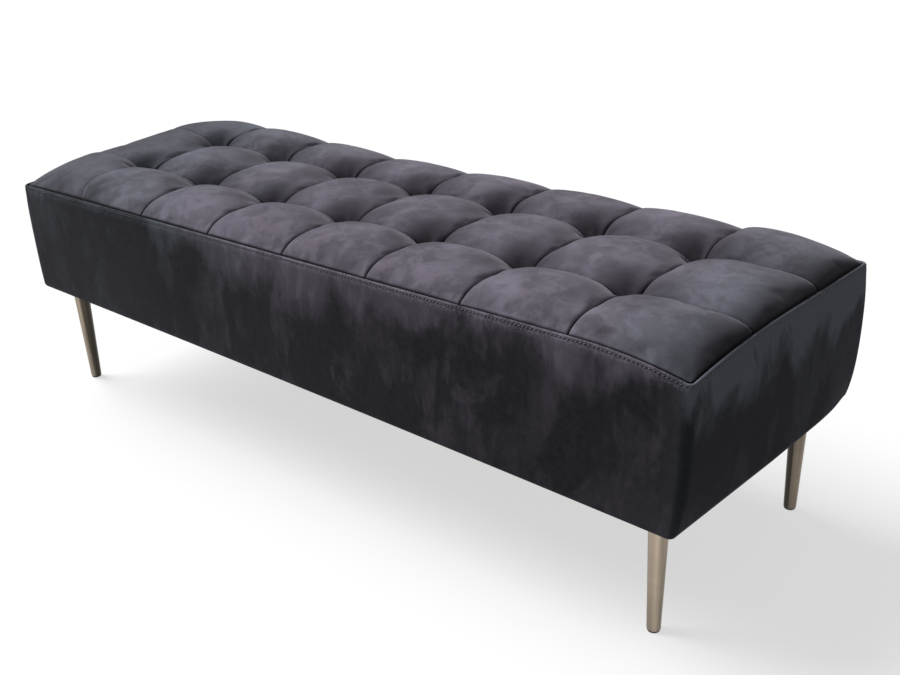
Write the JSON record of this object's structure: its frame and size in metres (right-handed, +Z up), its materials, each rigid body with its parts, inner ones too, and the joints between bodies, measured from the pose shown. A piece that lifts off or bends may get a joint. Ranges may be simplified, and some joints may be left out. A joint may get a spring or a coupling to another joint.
{
  "type": "tufted bench pouf",
  "caption": "Long padded bench pouf with a tufted velvet top of sewn pillows and plain velvet sides, standing on slim tapered metal legs.",
  "frame": {"origin": "on the floor under the middle of the seat", "axes": "+X along the length, -Y towards the front, +Z up"},
  "size_m": [1.4, 0.4702, 0.4307],
  "materials": {
    "velvet": "matte",
    "foam": "matte",
    "frame_wood": "matte",
    "plywood": "matte",
    "dust_cloth": "matte",
    "leg_metal": "satin",
    "plate_steel": "satin",
    "screw_steel": "satin",
    "glide_plastic": "matte",
    "twine": "matte"
  },
  "bodies": {
    "root": {"back_padding": "foam", "back_rail": "frame_wood", "border_cover": "velvet", "corner_block_back_left": "frame_wood", "corner_block_back_right": "frame_wood", "corner_block_front_left": "frame_wood", "corner_block_front_right": "frame_wood", "cross_rail_left": "frame_wood", "cross_rail_right": "frame_wood", "deck_board": "plywood", "deck_screws": "screw_steel", "dust_cover": "dust_cloth", "foot_glide_back_left": "glide_plastic", "foot_glide_back_right": "glide_plastic", "foot_glide_front_left": "glide_plastic", "foot_glide_front_right": "glide_plastic", "frame_screws": "screw_steel", "front_padding": "foam", "front_rail": "frame_wood", "left_padding": "foam", "left_rail": "frame_wood", "leg_back_left": "leg_metal", "leg_back_right": "leg_metal", "leg_front_left": "leg_metal", "leg_front_right": "leg_metal", "leg_plate_back_left": "plate_steel", "leg_plate_back_right": "plate_steel", "leg_plate_front_left": "plate_steel", "leg_plate_front_right": "plate_steel", "leg_screws": "screw_steel", "leg_stud_back_left": "screw_steel", "leg_stud_back_right": "screw_steel", "leg_stud_front_left": "screw_steel", "leg_stud_front_right": "screw_steel", "right_padding": "foam", "right_rail": "frame_wood", "seat_foam": "foam", "tuft_twines": "twine", "tuft_washers": "screw_steel", "tufted_top": "velvet"}
  },
  "joints": []
}
